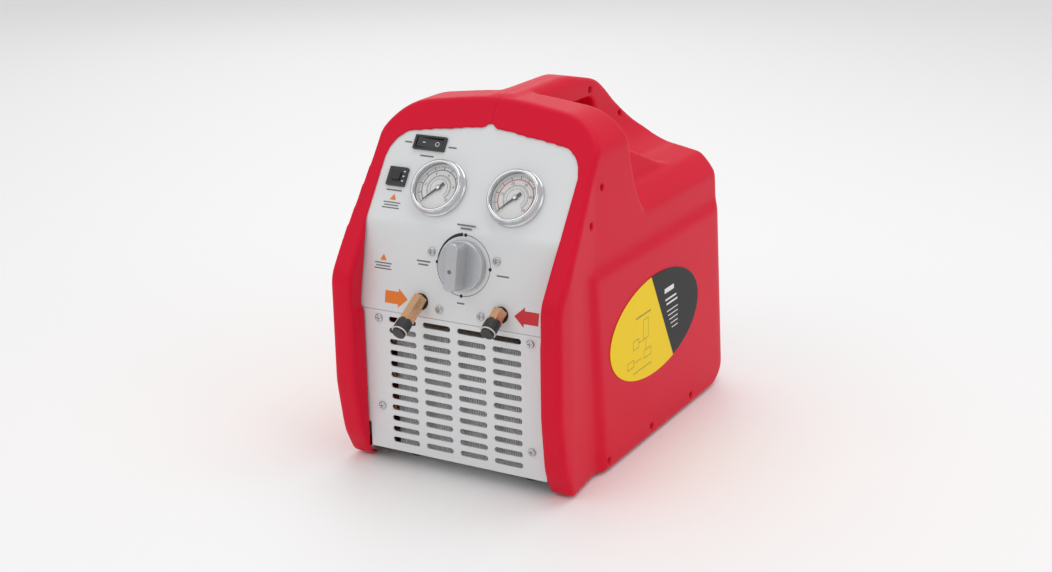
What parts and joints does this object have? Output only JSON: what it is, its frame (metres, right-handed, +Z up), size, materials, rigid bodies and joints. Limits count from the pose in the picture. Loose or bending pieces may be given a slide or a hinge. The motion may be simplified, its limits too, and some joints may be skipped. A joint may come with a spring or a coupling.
{
  "type": "refrigerant recovery machine",
  "caption": "Portable refrigerant recovery machine: red moulded carry case, sloping gauge panel, selector knob, hose ports and slotted intake grille.",
  "frame": {"origin": "bottom centre of the machine's bounding box, on the surface its feet stand on", "axes": "+Z up, -Y towards the user at the gauge panel, +X to the user's right"},
  "size_m": [0.25, 0.4104, 0.355],
  "materials": {
    "red_case": "fine moulded grain",
    "panel_paint": "satin",
    "zinc_sheet": "satin",
    "black_plastic": "satin",
    "pale_strap": "satin",
    "silver_knob": "satin silver",
    "chrome_trim": "polished",
    "screw_steel": "bright",
    "brass_fittings": "machined",
    "copper_tube": "drawn copper",
    "aluminium_fins": "cast and pressed",
    "iron_motor": "dark lacquer",
    "motor_fan_plastic": "moulded",
    "soft_rubber": "matt",
    "clear_lens": "clear",
    "dial_white": "printed",
    "needle_black": "satin",
    "label_print": "printed film"
  },
  "bodies": {
    "machine": {"base_plate": "zinc_sheet", "breaker_housing": "black_plastic", "capacitor_clip": "zinc_sheet", "case_screws": "screw_steel", "condenser_coil": "copper_tube", "condenser_fins": "aluminium_fins", "control_panel": "panel_paint", "copper_pipes": "copper_tube", "crankcase": "aluminium_fins", "crankcase_cover": "aluminium_fins", "cylinder": "aluminium_fins", "cylinder_head": "aluminium_fins", "fan_bracket": "zinc_sheet", "fan_motor": "iron_motor", "fan_shroud": "zinc_sheet", "gauge_bezels": "chrome_trim", "gauge_cases": "black_plastic", "gauge_lenses": "clear_lens", "gauge_movements": "brass_fittings", "grille_plate": "panel_paint", "head_bolts": "screw_steel", "high_gauge_dial": "dial_white", "inlet_filter": "brass_fittings", "inlet_fitting": "brass_fittings", "left_case_half": "red_case", "low_gauge_dial": "dial_white", "motor_cradle": "zinc_sheet", "motor_housing": "iron_motor", "motor_stator": "iron_motor", "outlet_fitting": "brass_fittings", "panel_rails": "zinc_sheet", "panel_screws": "screw_steel", "port_grommets": "soft_rubber", "power_inlet": "black_plastic", "rear_panel": "zinc_sheet", "right_case_half": "red_case", "rubber_feet": "soft_rubber", "run_capacitor": "motor_fan_plastic", "shaft_bearings": "screw_steel", "side_labels": "label_print", "switch_housing": "black_plastic", "terminal_blades": "brass_fittings", "valve_block": "brass_fittings", "valve_plate": "screw_steel"},
    "selector": {"selector_knob": "silver_knob", "valve_spool": "screw_steel"},
    "rocker": {"switch_rocker": "black_plastic"},
    "reset_button": {"breaker_button": "black_plastic"},
    "low_pointer": {"low_gauge_pointer": "needle_black"},
    "high_pointer": {"high_gauge_pointer": "needle_black"},
    "inlet_cap": {"inlet_cap": "black_plastic", "inlet_cap_strap": "pale_strap"},
    "outlet_cap": {"outlet_cap": "black_plastic", "outlet_cap_strap": "pale_strap"},
    "fan": {"fan_rotor": "black_plastic"},
    "crank": {"crankshaft": "screw_steel", "motor_rotor": "aluminium_fins", "motor_fan": "motor_fan_plastic"},
    "rod": {"connecting_rod": "screw_steel"},
    "piston": {"piston": "aluminium_fins"}
  },
  "joints": [
    {"name": "selector_turn", "type": "hinge", "parent": "machine", "child": "selector", "pos_m": [0.0065, -0.15307, 0.2108], "axis": [0, 0.9816, -0.1908], "range_deg": [0, 270]},
    {"name": "power_rocker", "type": "hinge", "parent": "machine", "child": "rocker", "pos_m": [-0.059, -0.09905, 0.30803], "axis": [0, -0.5736, -0.8192], "range_deg": [0, 16]},
    {"name": "breaker_reset", "type": "slide", "parent": "machine", "child": "reset_button", "axis": [0, -0.8192, 0.5736], "range_m": [0, 0.004]},
    {"name": "low_pointer_swing", "type": "hinge", "parent": "machine", "child": "low_pointer", "pos_m": [-0.0349, -0.1248, 0.273], "axis": [0, 0.8192, -0.5736], "range_deg": [0, 270]},
    {"name": "high_pointer_swing", "type": "hinge", "parent": "machine", "child": "high_pointer", "pos_m": [0.0479, -0.1248, 0.273], "axis": [0, 0.8192, -0.5736], "range_deg": [0, 270]},
    {"name": "inlet_cap_pull", "type": "slide", "parent": "machine", "child": "inlet_cap", "axis": [0, -0.866, -0.5], "range_m": [0, 0.03]},
    {"name": "outlet_cap_pull", "type": "slide", "parent": "machine", "child": "outlet_cap", "axis": [0, -0.866, -0.5], "range_m": [0, 0.03]},
    {"name": "fan_spin", "type": "hinge", "parent": "machine", "child": "fan", "pos_m": [0, -0.09939, 0.084], "axis": [0, 1, 0], "continuous": true},
    {"name": "crank_spin", "type": "hinge", "parent": "machine", "child": "crank", "pos_m": [0, 0.03361, 0.078], "axis": [0, 1, 0], "continuous": true},
    {"name": "rod_pivot", "type": "hinge", "parent": "crank", "child": "rod", "pos_m": [0, 0.03361, 0.073], "axis": [0, 1, 0], "continuous": true},
    {"name": "piston_stroke", "type": "slide", "parent": "machine", "child": "piston", "axis": [0, 0, 1], "range_m": [0, 0.01]}
  ],
  "couplings": [
    {"joint": "rod_pivot", "follows": "crank_spin", "ratio": -1}
  ]
}
